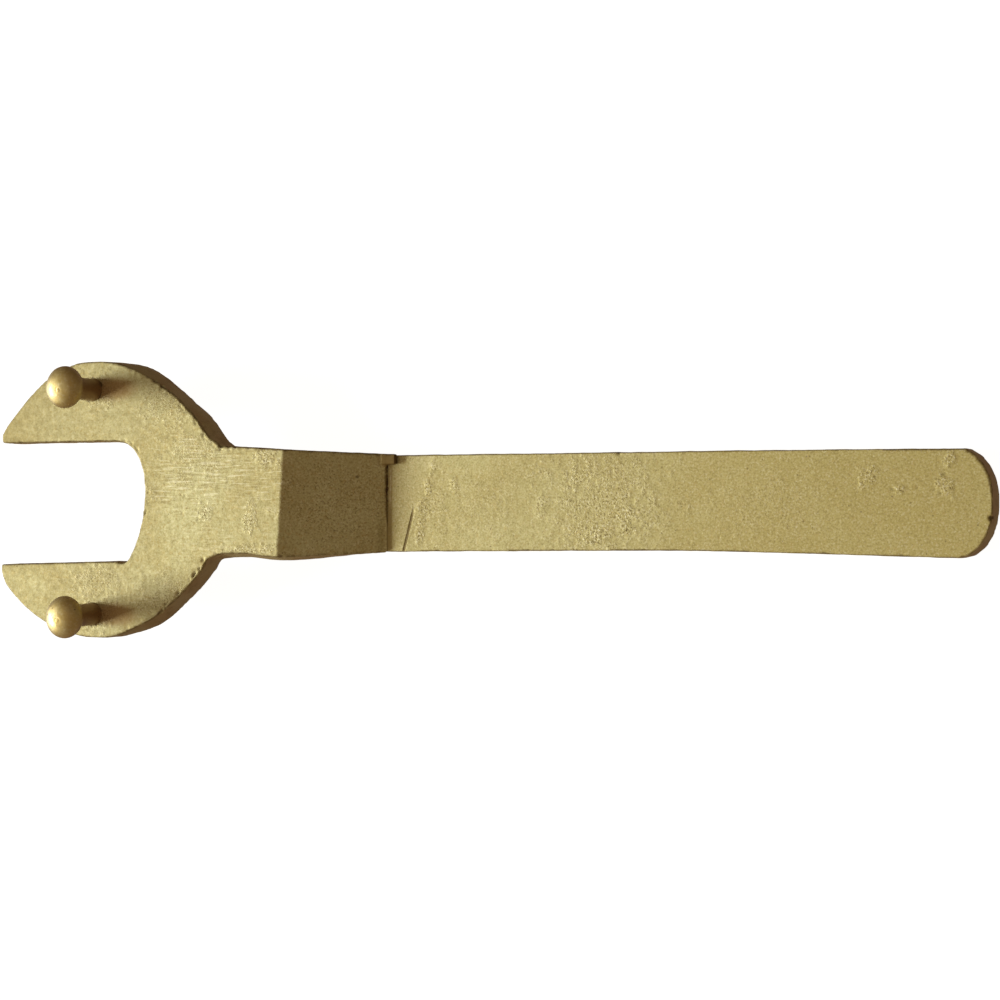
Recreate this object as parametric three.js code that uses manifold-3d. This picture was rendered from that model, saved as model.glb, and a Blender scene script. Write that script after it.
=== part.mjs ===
// Fire hydrant wrench: a forked, cranked plate with two ball-headed pins, brazed to a flat handle bar.
// Units are millimetres. +X runs from the jaw mouth to the end of the handle, +Z is up, and the pins
// point up. The origin is on the underside of the handle bar, midway along the whole tool.
// Right (+Y) and left (-Y) are as the user sees them, holding the handle with the fork pointing away.

import * as THREE from 'three';
import { mergeVertices } from 'three/addons/utils/BufferGeometryUtils.js';
import Module from 'manifold-3d';

// ---------- driving dimensions ----------

const overallLength = 300;
const plateThickness = 7.8; // fork plate and handle bar alike
const crankDrop = 15.2; // how far the fork plate lies above the handle bar

// Fork plan
const mouthX = -overallLength / 2;
const rightJawY = 18.5; // the right jaw face is parallel to the handle
const leftJawMouthY = -19.0; // the left jaw face closes in a little towards the throat
const leftJawThroatY = -17.6;
const throatX = -95.8; // deepest point of the slot
const tipHalfWidth = 20.8; // the blunt end of each arm runs from the slot out to here

// Crank
const crestX = -48.4; // where the neck turns down
const crestRadius = 1.4; // of the rounding along it
const footX = -21.9; // where the crank ends on the bar
const footStep = 0.6; // blunt height of the crank's end above the braze
const brazeThickness = 0.3;
const lipEndX = -18.7; // the foot runs on as a thin lip beside the right edge of the bar
const lipLeftY = 11;
const lipEndHeight = 1.3; // above the braze
const lipSlope = 0.13;
const lipBuried = 4; // how far the lip runs back inside the crank

// Handle bar plan
const barRightY = 13.4;
const barLeftY = -13.8;
const barEndX = overallLength / 2;

// Ball pins
const rightPinX = -115.5;
const rightPinY = 33.9;
const leftPinX = -115;
const leftPinY = -33.4;
const stemRadius = 3.35;
const ballRadius = 6.25; // across the ball
const ballHalfHeight = 3.7; // the ball is flattened along its axis
const ballCentreHeight = 12.8; // above the plate
const seatDepth = 0.4; // spot-faced seat that the stem stands in
const seatRadius = 3.75;
const tenonRadius = 2.7;
const rivetRadius = 4.2; // the tenon's end, spread into a countersink on the underside
const rivetDepth = 1.6;
const pinClearance = 0.1;
const pinSides = 40;

// ---------- derived heights ----------

const plateTop = plateThickness + crankDrop;
const plateUnderside = crankDrop;
const barTop = plateThickness;
const brazeTop = barTop + brazeThickness;
const crankFall = plateTop - (brazeTop + footStep);
const crankRun = footX - crestX;
const crankAngle = Math.atan2(crankFall, crankRun);
const crankSlope = Math.tan(crankAngle);
const crankVerticalThickness = plateThickness / Math.cos(crankAngle);
const past = 20; // how far a cutting block runs past the material
const rightPinPlace = [rightPinX, rightPinY];
const leftPinPlace = [leftPinX, leftPinY];

// X on the crank's underside at a given height
function undersideX(height) {
  return crestX + (plateTop - crankVerticalThickness - height) / crankSlope;
}

// ---------- materials ----------

const forkBrass = new THREE.MeshStandardMaterial({ color: 0xc8ba82, roughness: 0.5, metalness: 0.9 });
const barBrass = new THREE.MeshStandardMaterial({ color: 0xb6a56c, roughness: 0.55, metalness: 0.9 });
const pinBrass = new THREE.MeshStandardMaterial({ color: 0xb09c5c, roughness: 0.35, metalness: 1.0 });
const brazeMetal = new THREE.MeshStandardMaterial({ color: 0x5b4524, roughness: 0.7, metalness: 0.7 });

// ---------- booleans ----------

const wasm = await Module();
wasm.setup();

function toSolid(geometry) {
  const bare = geometry.index ? geometry.toNonIndexed() : geometry.clone();
  bare.deleteAttribute('normal');
  bare.deleteAttribute('uv');
  const merged = mergeVertices(bare, 1e-4);
  return new wasm.Manifold(
    new wasm.Mesh({
      numProp: 3,
      vertProperties: new Float32Array(merged.attributes.position.array),
      triVerts: new Uint32Array(merged.index.array),
    })
  );
}

function toGeometry(solid) {
  const mesh = solid.getMesh();
  const geometry = new THREE.BufferGeometry();
  geometry.setAttribute('position', new THREE.BufferAttribute(new Float32Array(mesh.vertProperties), 3));
  geometry.setIndex(new THREE.BufferAttribute(new Uint32Array(mesh.triVerts), 1));
  const flat = geometry.toNonIndexed();
  flat.computeVertexNormals();
  return flat;
}

// ---------- shape helpers ----------

function points(list) {
  return list.map(([x, y]) => new THREE.Vector2(x, y));
}

// A plan outline, drawn in X and Y, made solid over the whole height of the tool
function planSolid(shape) {
  const geometry = new THREE.ExtrudeGeometry(shape, {
    depth: plateTop + 2 * past,
    bevelEnabled: false,
    curveSegments: 5,
  });
  geometry.translate(0, 0, -past);
  return toSolid(geometry);
}

// A side outline, drawn in X and Z, made solid over the whole width of the tool
function sideSolid(shape) {
  const width = 4 * past + 2 * rightPinY;
  const geometry = new THREE.ExtrudeGeometry(shape, {
    depth: width,
    bevelEnabled: false,
    curveSegments: 8,
  });
  geometry.rotateX(Math.PI / 2);
  geometry.translate(0, width / 2, 0);
  return toSolid(geometry);
}

// ---------- plan of the fork ----------

function forkPlan() {
  const shape = new THREE.Shape();

  // Left arm, from the slot round to the neck
  shape.moveTo(mouthX, leftJawMouthY);
  shape.lineTo(mouthX, -tipHalfWidth);
  shape.splineThru(
    points([
      [-148.2, -25.0],
      [-142.7, -30.2],
      [-135.6, -34.9],
      [-127, -38.4],
      [-117.6, -40.2],
      [-108.5, -40.0],
      [-99.5, -37.1],
      [-90.5, -32.7],
      [-82.6, -26.7],
      [-75.9, -20.0],
      [-73.3, -16.4],
      [-68.5, -14.8],
    ])
  );

  // Left side of the neck and crank, then across the foot
  shape.splineThru(
    points([
      [-60, -14.7],
      [-48.6, -15.5],
      [-34, -14.8],
      [footX, -14.0],
    ])
  );
  shape.lineTo(footX + past, -14.0);
  shape.lineTo(footX + past, 13.8);
  shape.lineTo(footX, 13.8);

  // Right side of the crank and neck
  shape.splineThru(
    points([
      [-48, 15.0],
      [-60, 15.8],
      [-69, 16.4],
    ])
  );

  // Right arm, from the neck out to its tip
  shape.splineThru(
    points([
      [-73.4, 19.3],
      [-79.0, 25.7],
      [-85.5, 31.5],
      [-93, 36.0],
      [-101.5, 40.0],
      [-109.5, 42.0],
      [-117, 42.3],
      [-124, 41.3],
      [-133, 37.3],
      [-140.6, 31.2],
      [-147.4, 24.4],
      [mouthX, tipHalfWidth],
    ])
  );
  shape.lineTo(mouthX, rightJawY);

  // Slot: straight right face, broad throat, tighter left corner with a small relief
  shape.lineTo(-106, rightJawY);
  shape.bezierCurveTo(-100.5, rightJawY, throatX, 12.5, throatX, 4);
  shape.bezierCurveTo(throatX, -4.5, -98.2, -11.5, -101.3, -16.4);
  shape.quadraticCurveTo(-102.9, -18.8, -105.2, -18.0);
  shape.quadraticCurveTo(-106, leftJawThroatY, -107.5, leftJawThroatY);
  shape.closePath();
  return shape;
}

// ---------- side view of the fork and crank ----------

function forkSide() {
  const shape = new THREE.Shape();
  const tangent = crestRadius * Math.tan(crankAngle / 2);
  const farX = mouthX - past;
  shape.moveTo(farX, plateUnderside);
  shape.lineTo(undersideX(plateUnderside), plateUnderside);
  shape.lineTo(undersideX(brazeTop), brazeTop);
  shape.lineTo(footX, brazeTop);
  shape.lineTo(footX, brazeTop + footStep);
  shape.absarc(
    crestX - tangent,
    plateTop - crestRadius,
    crestRadius,
    Math.PI / 2 - crankAngle,
    Math.PI / 2,
    false
  );
  shape.lineTo(farX, plateTop);
  shape.closePath();
  return shape;
}

// Everything taken out of the plate to hold one pin: spot-faced seat, hole and countersink
function pinPocket() {
  const profile = points([
    [0, past],
    [seatRadius, past],
    [seatRadius, -seatDepth],
    [tenonRadius + pinClearance, -seatDepth],
    [tenonRadius + pinClearance, -plateThickness + rivetDepth],
    [rivetRadius + pinClearance, -plateThickness],
    [rivetRadius + pinClearance, -plateThickness - past],
    [0, -plateThickness - past],
  ]).reverse();
  return new THREE.LatheGeometry(profile, pinSides).rotateX(Math.PI / 2);
}

// The strip of the plan that the lip and its braze lie in
function lipPlan() {
  const shape = new THREE.Shape();
  shape.moveTo(footX - 2 * past, lipLeftY);
  shape.lineTo(lipEndX, lipLeftY);
  shape.lineTo(lipEndX, past);
  shape.lineTo(footX - 2 * past, past);
  shape.closePath();
  return shape;
}

// The lip starts inside the crank and comes out through the crank's upper face
function lipSide() {
  const shape = new THREE.Shape();
  const startX = footX - lipBuried;
  const topAtStart = brazeTop + lipEndHeight + lipSlope * (lipEndX - startX);
  shape.moveTo(startX, brazeTop);
  shape.lineTo(lipEndX, brazeTop);
  shape.lineTo(lipEndX, brazeTop + lipEndHeight);
  shape.lineTo(startX, topAtStart);
  shape.closePath();
  return shape;
}

function forkHeadGeometry() {
  const outline = planSolid(forkPlan());
  const lip = outline.intersect(planSolid(lipPlan())).intersect(sideSolid(lipSide()));
  let fork = outline.intersect(sideSolid(forkSide())).add(lip);
  for (const [pinX, pinY] of [rightPinPlace, leftPinPlace]) {
    const pocket = pinPocket().translate(pinX, pinY, plateTop);
    fork = fork.subtract(toSolid(pocket));
  }
  return toGeometry(fork);
}

// ---------- handle bar ----------

// The right edge is straight, the left edge is drawn in a little, and the end is a hand-cut round
function barPlan() {
  const shape = new THREE.Shape();
  shape.moveTo(crestX, barLeftY);
  shape.lineTo(footX, barLeftY);
  shape.splineThru(
    points([
      [14, -13.3],
      [45, -12.9],
      [73, -12.7],
      [100, -13.1],
      [127, -13.6],
      [141.3, -13.9],
    ])
  );
  shape.bezierCurveTo(146.5, -13.9, barEndX, -7.5, barEndX, -1);
  shape.bezierCurveTo(barEndX, 6, 147.6, 10.8, 142.8, 13.2);
  shape.lineTo(75, barRightY);
  shape.lineTo(crestX, barRightY);
  shape.closePath();
  return shape;
}

// The bar's tip is bevelled to lie flush with the underside of the crank
function barSide() {
  const shape = new THREE.Shape();
  shape.moveTo(undersideX(0), 0);
  shape.lineTo(barEndX + past, 0);
  shape.lineTo(barEndX + past, barTop);
  shape.lineTo(undersideX(barTop), barTop);
  shape.closePath();
  return shape;
}

function handleBarGeometry() {
  return toGeometry(planSolid(barPlan()).intersect(sideSolid(barSide())));
}

// ---------- braze between the foot of the crank and the bar ----------

function brazeFilm(endX) {
  const side = new THREE.Shape();
  side.moveTo(undersideX(barTop), barTop);
  side.lineTo(endX, barTop);
  side.lineTo(endX, brazeTop);
  side.lineTo(undersideX(brazeTop), brazeTop);
  side.closePath();
  return planSolid(forkPlan()).intersect(planSolid(barPlan())).intersect(sideSolid(side));
}

function brazeGeometry() {
  const underLip = brazeFilm(lipEndX).intersect(planSolid(lipPlan()));
  return toGeometry(brazeFilm(footX).add(underLip));
}

// ---------- ball pins ----------

// One turned piece. Height 0 is the upper face of the plate.
function ballPinGeometry() {
  const profile = new THREE.Path();
  const seam = Math.asin(stemRadius / ballRadius);
  profile.moveTo(0, -plateThickness);
  profile.lineTo(rivetRadius, -plateThickness);
  profile.lineTo(tenonRadius, -plateThickness + rivetDepth);
  profile.lineTo(tenonRadius, -seatDepth);
  profile.lineTo(stemRadius, -seatDepth);
  profile.absellipse(
    0,
    ballCentreHeight,
    ballRadius,
    ballHalfHeight,
    seam - Math.PI / 2,
    Math.PI / 2,
    false
  );
  const outline = profile.getPoints(9);
  outline[outline.length - 1].x = 0;
  return new THREE.LatheGeometry(outline, pinSides).rotateX(Math.PI / 2);
}

// ---------- assembly ----------

function part(name, geometry, material) {
  const mesh = new THREE.Mesh(geometry, material);
  mesh.name = name;
  return mesh;
}

const wrench = new THREE.Group();
wrench.name = 'fire_hydrant_wrench';
wrench.add(part('fork_head', forkHeadGeometry(), forkBrass));
wrench.add(part('handle_bar', handleBarGeometry(), barBrass));
wrench.add(part('braze_seam', brazeGeometry(), brazeMetal));

const pins = new THREE.Group();
pins.position.z = plateTop;
for (const [name, [pinX, pinY]] of [
  ['right_ball_pin', rightPinPlace],
  ['left_ball_pin', leftPinPlace],
]) {
  const pin = part(name, ballPinGeometry(), pinBrass);
  pin.position.set(pinX, pinY, 0);
  pins.add(pin);
}
wrench.add(pins);

export default wrench;
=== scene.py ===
"""Fire hydrant wrench in plain brass: a cranked fork with two ball pins, brazed to a flat handle bar.

Everything is in metres in the CAD frame: +X from the jaw mouth to the end of the handle, +Y to the right
arm, +Z up. Marks, patches and the sizes in the materials are in millimetres. The fork and the bar are fine
copies of their CAD solids that are then worn, nicked and pitted. The braze and the turned pins are made
anew, at the places of theirs.
"""
import math

import bpy
import numpy as np
from mathutils import Euler, Matrix, Vector


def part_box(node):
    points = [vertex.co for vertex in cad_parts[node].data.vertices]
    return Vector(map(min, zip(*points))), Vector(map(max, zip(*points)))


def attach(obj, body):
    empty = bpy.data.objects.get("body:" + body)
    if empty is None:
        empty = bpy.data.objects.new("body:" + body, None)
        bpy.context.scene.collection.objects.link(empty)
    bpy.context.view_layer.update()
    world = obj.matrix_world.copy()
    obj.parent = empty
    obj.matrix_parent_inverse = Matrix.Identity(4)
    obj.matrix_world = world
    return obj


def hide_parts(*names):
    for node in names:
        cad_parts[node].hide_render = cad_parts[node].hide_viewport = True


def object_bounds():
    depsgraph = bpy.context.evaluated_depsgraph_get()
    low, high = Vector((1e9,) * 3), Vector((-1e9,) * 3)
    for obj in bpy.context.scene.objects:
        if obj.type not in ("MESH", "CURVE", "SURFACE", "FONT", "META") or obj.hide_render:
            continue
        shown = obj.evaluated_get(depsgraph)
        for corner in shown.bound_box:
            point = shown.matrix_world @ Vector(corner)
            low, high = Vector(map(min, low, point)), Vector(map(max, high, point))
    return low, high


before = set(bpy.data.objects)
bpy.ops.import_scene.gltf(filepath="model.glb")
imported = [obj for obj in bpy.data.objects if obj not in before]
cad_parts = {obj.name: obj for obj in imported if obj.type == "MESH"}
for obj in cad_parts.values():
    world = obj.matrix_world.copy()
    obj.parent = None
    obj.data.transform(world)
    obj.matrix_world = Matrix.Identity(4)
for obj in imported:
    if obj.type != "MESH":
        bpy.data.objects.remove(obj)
CAD_LOW, CAD_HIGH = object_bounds()
MM = 0.001

# ---------------------------------------------------------------- places

HEAD_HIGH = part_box("fork_head")[1]
BAR_LOW, BAR_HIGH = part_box("handle_bar")
BRAZE_LOW, BRAZE_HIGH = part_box("braze_seam")
BAR_TOP = BAR_HIGH.z
PLATE_TOP = HEAD_HIGH.z
PLATE_THICKNESS = BAR_HIGH.z - BAR_LOW.z  # the fork's plate is as thick as the bar
LIP_LENGTH = 3.2 * MM  # the lip beside the bar's right edge runs on past the foot
LIP_Y = 11.0 * MM  # the lip lies to the right of this line
CRANK_RUN = 26.5 * MM
FOOT_X = HEAD_HIGH.x - LIP_LENGTH  # where the crank ends on the bar
CREST_X = FOOT_X - CRANK_RUN  # where the neck turns down
BALL_HALF_HEIGHT = 3.7 * MM

# ---------------------------------------------------------------- marks on the surface

# Crumbly patches of the fork's upper face: x, y, half length, half width, strength
FORK_PATCHES = [
    (-74.0, -3.5, 3.5, 4.0, 1.0),
    (-58.5, -4.5, 2.6, 6.0, 1.0),
    (-53.5, 12.5, 4.5, 3.5, 1.0),
    (-59.0, -13.8, 10.0, 2.2, 1.0),
    (-93.0, 2.5, 3.5, 3.5, 0.7),
    (-114.5, -24.5, 11.0, 6.0, 0.7),
    (-112.0, 34.0, 6.5, 6.0, 0.8),
    (-112.0, -33.5, 6.5, 6.0, 0.8),
    (-88.0, 28.0, 10.0, 9.0, 0.6),
    (-88.0, -28.0, 13.0, 7.0, 0.6),
    (-77.0, 14.0, 12.0, 9.0, 0.5),
    (-34.0, 0.0, 15.0, 14.0, 0.5),
]

# Where the fork's file marks show best: x, y, half length, half width, strength
BRUSHED_PATCHES = [
    (-76.0, 9.0, 24.0, 12.0, 1.0),
    (-58.0, 7.0, 12.0, 11.0, 0.9),
    (-72.0, -12.0, 26.0, 9.0, 0.35),
    (-112.0, 25.0, 20.0, 7.0, 0.25),
    (-112.0, -25.0, 24.0, 7.0, 0.3),
]

# Crumbly patches of the bar's upper face: x, y, half length, half width, strength
BAR_PATCHES = [
    (37.5, 6.5, 5.5, 6.0, 1.0),
    (43.3, -8.5, 5.0, 5.5, 1.0),
    (52.2, -3.5, 4.0, 9.0, 1.0),
    (45.5, -1.0, 20.0, 16.0, 0.7),
    (27.0, -0.5, 3.0, 5.0, 0.7),
    (-7.3, 9.0, 1.3, 3.2, 1.0),
    (-8.6, 4.0, 1.8, 3.5, 1.0),
    (-10.6, -0.5, 2.6, 4.5, 1.0),
    (-11.4, -8.0, 2.2, 5.0, 0.9),
    (-6.0, -2.0, 5.0, 11.0, 0.5),
    (-0.5, 4.5, 1.6, 2.6, 0.9),
    (8.0, -2.0, 12.0, 10.0, 0.35),
    (118.0, 6.5, 3.0, 4.0, 0.8),
    (126.5, 3.0, 1.6, 1.6, 1.0),
    (139.3, 11.0, 1.5, 2.6, 1.0),
    (138.5, 4.0, 3.0, 3.0, 0.8),
    (92.0, -1.0, 18.0, 9.0, 0.3),
]

# Ovals with small pits: centre x, centre y, half length, half width, how many
FORK_PITS = [
    (-76.0, -3.5, 2.5, 2.5, 5),
    (-112.0, -25.0, 7.0, 4.0, 8),
    (-85.0, 0.0, 20.0, 30.0, 10),
    (-34.0, 1.0, 12.0, 12.0, 6),
]
BAR_PITS = [
    (38.0, 5.5, 3.0, 3.5, 5),
    (43.5, -8.5, 2.2, 2.5, 4),
    (52.0, -3.0, 2.0, 5.5, 6),
    (130.0, 5.0, 10.0, 4.5, 8),
    (70.0, 0.0, 60.0, 11.0, 14),
]

# Two deep nicks in the bar's upper edge: x, y, radius, depth
BAR_NOTCHES = [(149.5, -4.0, 0.6, 0.8), (50.0, 13.3, 0.7, 0.3)]

# A slanting scratch on the bar, and the bright burr that runs down beside the foot
SCRATCH = ((-16.4, -13.8), (-12.9, -0.6))
BURR = ((FOOT_X / MM + 1.1, 9.5), (FOOT_X / MM + 0.9, -1.0))

# ---------------------------------------------------------------- repeatable noise


def lattice(ix, iy, iz, seed):
    """A scrambled number from -1 to 1 for each whole-number lattice point, the same in each run."""
    h = (ix * 73856093) ^ (iy * 19349663) ^ (iz * 83492791) ^ (seed * 2654435761)
    h = (h ^ (h >> 13)) * 1274126177
    h = h ^ (h >> 16)
    return (h & 0xFFFF) / 32767.5 - 1.0


def value_noise(points, size, seed):
    """Smooth noise from -1 to 1, with features about size metres across."""
    p = points / size
    cell = np.floor(p).astype(np.int64)
    f = p - cell
    f = f * f * (3 - 2 * f)
    total = 0.0
    for dx in (0, 1):
        for dy in (0, 1):
            for dz in (0, 1):
                weight = (
                    (f[:, 0] if dx else 1 - f[:, 0])
                    * (f[:, 1] if dy else 1 - f[:, 1])
                    * (f[:, 2] if dz else 1 - f[:, 2])
                )
                corner = lattice(cell[:, 0] + dx, cell[:, 1] + dy, cell[:, 2] + dz, seed)
                total = total + weight * corner
    return total


def waves(points, *layers):
    """The sum of several noises, each given as (feature size in millimetres, height, seed)."""
    return sum(height * value_noise(points, size * MM, seed) for size, height, seed in layers)


def smooth_step(value, start, end):
    """0 before start, 1 after end, smooth between."""
    t = np.clip((value - start) / (end - start), 0.0, 1.0)
    return t * t * (3 - 2 * t)


def bump_at(value, centre, half_width):
    """1 at the centre, falling smoothly to 0 at half_width away."""
    return 1 - smooth_step(np.abs(value - centre), 0.0, half_width)


# ---------------------------------------------------------------- mesh helpers

VOXEL = 0.39 * MM  # grid of the fine copies
ROUNDING_PASSES = 2
EDGE_GAIN = 14  # brings the mask of a right-angled edge to about 1


def link(mesh, name):
    thing = bpy.data.objects.new(name, mesh)
    bpy.context.scene.collection.objects.link(thing)
    return thing


def new_mesh(name, verts, faces):
    mesh = bpy.data.meshes.new(name)
    mesh.from_pydata(verts, [], faces)
    mesh.update()
    return mesh


def bake_modifiers(thing):
    graph = bpy.context.evaluated_depsgraph_get()
    mesh = bpy.data.meshes.new_from_object(thing.evaluated_get(graph), depsgraph=graph)
    thing.modifiers.clear()
    old = thing.data
    thing.data = mesh
    bpy.data.meshes.remove(old)


def fine_copy(node, name):
    """A copy of a CAD solid on an even fine grid, with its edges rounded over."""
    thing = link(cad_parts[node].data.copy(), name)
    thing.data.materials.clear()
    remesh = thing.modifiers.new("grid", "REMESH")
    remesh.mode = "VOXEL"
    remesh.voxel_size = VOXEL
    rounding = thing.modifiers.new("rounding", "SMOOTH")
    rounding.factor = 0.5
    rounding.iterations = ROUNDING_PASSES
    bake_modifiers(thing)
    return thing


def read_points(mesh):
    co = np.empty(len(mesh.vertices) * 3)
    mesh.vertices.foreach_get("co", co)
    return co.reshape(-1, 3)


def write_points(mesh, co):
    """Moves the vertices, but never out of the CAD model's box."""
    co = np.clip(co, CAD_LOW, CAD_HIGH)
    mesh.vertices.foreach_set("co", co.astype(np.float32).ravel())
    mesh.update()


def read_normals(mesh):
    n = np.empty(len(mesh.vertices) * 3)
    mesh.vertex_normals.foreach_get("vector", n)
    return n.reshape(-1, 3)


def edge_pairs(mesh):
    pairs = np.empty(len(mesh.edges) * 2, np.int64)
    mesh.edges.foreach_get("vertices", pairs)
    return pairs.reshape(-1, 2)


def neighbour_sum(values, pairs):
    """For each vertex, the sum of a value over the vertices that it shares an edge with."""
    total = np.bincount(pairs[:, 0], values[pairs[:, 1]], len(values))
    return total + np.bincount(pairs[:, 1], values[pairs[:, 0]], len(values))


def neighbour_count(pairs, size):
    return np.maximum(np.bincount(pairs.ravel(), minlength=size), 1)


def spread(values, pairs, passes):
    """Averages a value with each vertex's neighbours, several times."""
    count = neighbour_count(pairs, len(values))
    for _ in range(passes):
        values = 0.5 * values + 0.5 * neighbour_sum(values, pairs) / count
    return values


def edge_mask(co, normals, pairs):
    """About 1 on outside edges, -1 in inside corners and 0 on flat faces."""
    mean = np.stack([neighbour_sum(co[:, k], pairs) for k in range(3)], axis=1)
    mean /= neighbour_count(pairs, len(co))[:, None]
    rise = ((co - mean) * normals).sum(1) / VOXEL
    return np.clip(spread(rise, pairs, 2) * EDGE_GAIN, -1, 1)


def store(mesh, name, values):
    layer = mesh.attributes.new(name, "FLOAT", "POINT")
    layer.data.foreach_set("value", values.astype(np.float32))


def finish_piece(thing, node, material):
    mesh = thing.data
    mesh.polygons.foreach_set("use_smooth", np.ones(len(mesh.polygons), bool))
    mesh.materials.clear()
    mesh.materials.append(material)
    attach(thing, "root")
    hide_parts(node)


# ---------------------------------------------------------------- node trees

# Sockets of a Mix node that mixes colours
MIX_FACTOR, MIX_A, MIX_B, MIX_RESULT = 0, 6, 7, 2


class Nodes:
    """Builds a node tree, one call a node. Inputs are numbers, colours or other nodes' outputs."""

    def __init__(self, tree, shader):
        self.tree = tree
        self.shader = shader

    def feed(self, socket, value):
        if isinstance(value, bpy.types.NodeSocket):
            self.tree.links.new(value, socket)
        else:
            socket.default_value = value

    def add(self, kind, inputs=None, **settings):
        node = self.tree.nodes.new(kind)
        for key, value in settings.items():
            setattr(node, key, value)
        for key, value in (inputs or {}).items():
            self.feed(node.inputs[key], value)
        return node

    def set(self, **inputs):
        """Feeds the shader's own sockets."""
        for key, value in inputs.items():
            self.feed(self.shader.inputs[key.replace("_", " ")], value)

    def math(self, operation, a, b=0.0, c=0.0):
        return self.add("ShaderNodeMath", {0: a, 1: b, 2: c}, operation=operation).outputs[0]

    def times(self, a, b):
        return self.math("MULTIPLY", a, b)

    def ramp(self, value, start, end, low=0.0, high=1.0, shape="SMOOTHSTEP"):
        """Low before start, high after end, and between them smooth or as the shape says."""
        node = self.add(
            "ShaderNodeMapRange",
            {"Value": value, "From Min": start, "From Max": end, "To Min": low, "To Max": high},
            interpolation_type=shape,
        )
        return node.outputs["Result"]

    def mix(self, factor, a, b):
        """Tone a where the factor is 0, tone b where it is 1."""
        sockets = {MIX_FACTOR: factor, MIX_A: a, MIX_B: b}
        return self.add("ShaderNodeMix", sockets, data_type="RGBA").outputs[MIX_RESULT]

    def axis(self, vector, name):
        """The part of a vector along X, Y or Z."""
        return self.add("ShaderNodeSeparateXYZ", {"Vector": vector}).outputs[name]

    def place(self, scale=(1.0, 1.0, 1.0), turn=0.0):
        """The surface's place in millimetres, stretched by scale."""
        coordinates = self.add("ShaderNodeTexCoord").outputs["Object"]
        factors = [k / MM for k in scale]
        node = self.add(
            "ShaderNodeMapping",
            {"Vector": coordinates, "Scale": factors, "Rotation": (0.0, 0.0, turn)},
        )
        return node.outputs["Vector"]

    def noise(self, size, detail=2.0, roughness=0.5, scale=(1.0, 1.0, 1.0), turn=0.0, distortion=0.0):
        """Noise from 0 to 1 with features about size millimetres across."""
        node = self.add(
            "ShaderNodeTexNoise",
            {
                "Vector": self.place(scale, turn),
                "Scale": 1.0 / size,
                "Detail": detail,
                "Roughness": roughness,
                "Distortion": distortion,
            },
        )
        return node.outputs["Fac"]

    def specks(self, size, share, softness=0.15):
        """1 in round specks in that share of the cells, which are size millimetres across, else 0."""
        cells = self.add("ShaderNodeTexVoronoi", {"Vector": self.place(), "Scale": 1.0 / size})
        split = self.add("ShaderNodeSeparateColor", {"Color": cells.outputs["Color"]})
        chosen = self.math("LESS_THAN", split.outputs["Red"], share)
        radius = self.ramp(split.outputs["Green"], 0.0, 1.0, 0.18, 0.42)
        inner = self.math("SUBTRACT", radius, softness)
        inside = self.ramp(cells.outputs["Distance"], inner, radius, 1.0, 0.0, "LINEAR")
        return self.times(inside, chosen)

    def stroke(self, start, end, half_width):
        """1 along a straight scratch between two points, 0 beside it. It thins out in its last quarter."""
        length = math.dist(start, end)
        along = self.add(
            "ShaderNodeMapping",
            {
                "Vector": self.add("ShaderNodeTexCoord").outputs["Object"],
                "Location": (start[0] * MM, start[1] * MM, 0.0),
                "Rotation": (0.0, 0.0, math.atan2(end[1] - start[1], end[0] - start[0])),
                "Scale": (MM, MM, MM),
            },
            vector_type="TEXTURE",
        ).outputs["Vector"]
        beside = self.math("ABSOLUTE", self.axis(along, "Y"))
        line = self.ramp(beside, 0.3 * half_width, half_width, 1.0, 0.0)
        begins = self.ramp(self.axis(along, "X"), -half_width, half_width)
        ends = self.ramp(self.axis(along, "X"), 0.75 * length, length, 1.0, 0.0)
        return self.times(line, self.times(begins, ends))

    def attribute(self, name):
        return self.add("ShaderNodeAttribute", attribute_name=name).outputs["Fac"]

    def bump(self, height, depth, below=None):
        """Bump whose height of 1 stands depth millimetres proud, on top of another bump."""
        inputs = {"Height": height, "Distance": depth * MM, "Strength": 1.0}
        if below is not None:
            inputs["Normal"] = below
        return self.add("ShaderNodeBump", inputs).outputs["Normal"]

    def facing(self, name):
        """How far the surface faces along X, Y or Z, from -1 to 1."""
        return self.axis(self.add("ShaderNodeNewGeometry").outputs["Normal"], name)


def new_material(name):
    """A material with a bare Principled shader, and the builder for its nodes."""
    material = bpy.data.materials.new(name)
    material.use_nodes = True
    tree = material.node_tree
    tree.nodes.clear()
    shader = tree.nodes.new("ShaderNodeBsdfPrincipled")
    output = tree.nodes.new("ShaderNodeOutputMaterial")
    tree.links.new(shader.outputs["BSDF"], output.inputs["Surface"])
    return material, Nodes(tree, shader)


# ---------------------------------------------------------------- materials

BRIGHT_BRASS = (0.775, 0.755, 0.435, 1.0)
WARM_BRASS = (0.70, 0.645, 0.33, 1.0)
# the more golden tone towards the bar's end
GOLDEN_END_BRASS = (0.76, 0.685, 0.29, 1.0)
# bright grain and wear, and also the tone of the painted glints and crumb highlights
SPARK_BRASS = (0.98, 0.96, 0.72, 1.0)
DULL_BRASS = (0.46, 0.38, 0.16, 1.0)
DARK_BRASS = (0.26, 0.19, 0.075, 1.0)
DARK_OXIDE = (0.13, 0.085, 0.035, 1.0)
WALL_BRASS = (0.66, 0.55, 0.29, 1.0)
GOLD_BRASS = (0.68, 0.54, 0.20, 1.0)
PALE_GOLD = (0.72, 0.61, 0.28, 1.0)
# painted light on the pins' side towards the mouth
PAINTED_LIGHT_BRASS = (0.73, 0.70, 0.54, 1.0)
# painted shade on the pins' stems and undersides
PAINTED_SHADE_BRASS = (0.40, 0.27, 0.14, 1.0)
# a stain on the cast walls, and also the tone of the painted pin shadows
STAIN_AND_SHADOW_BRASS = (0.66, 0.42, 0.18, 1.0)
FLUX_DARK = (0.05, 0.03, 0.015, 1.0)
FLUX_LIGHT = (0.22, 0.145, 0.065, 1.0)


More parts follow.
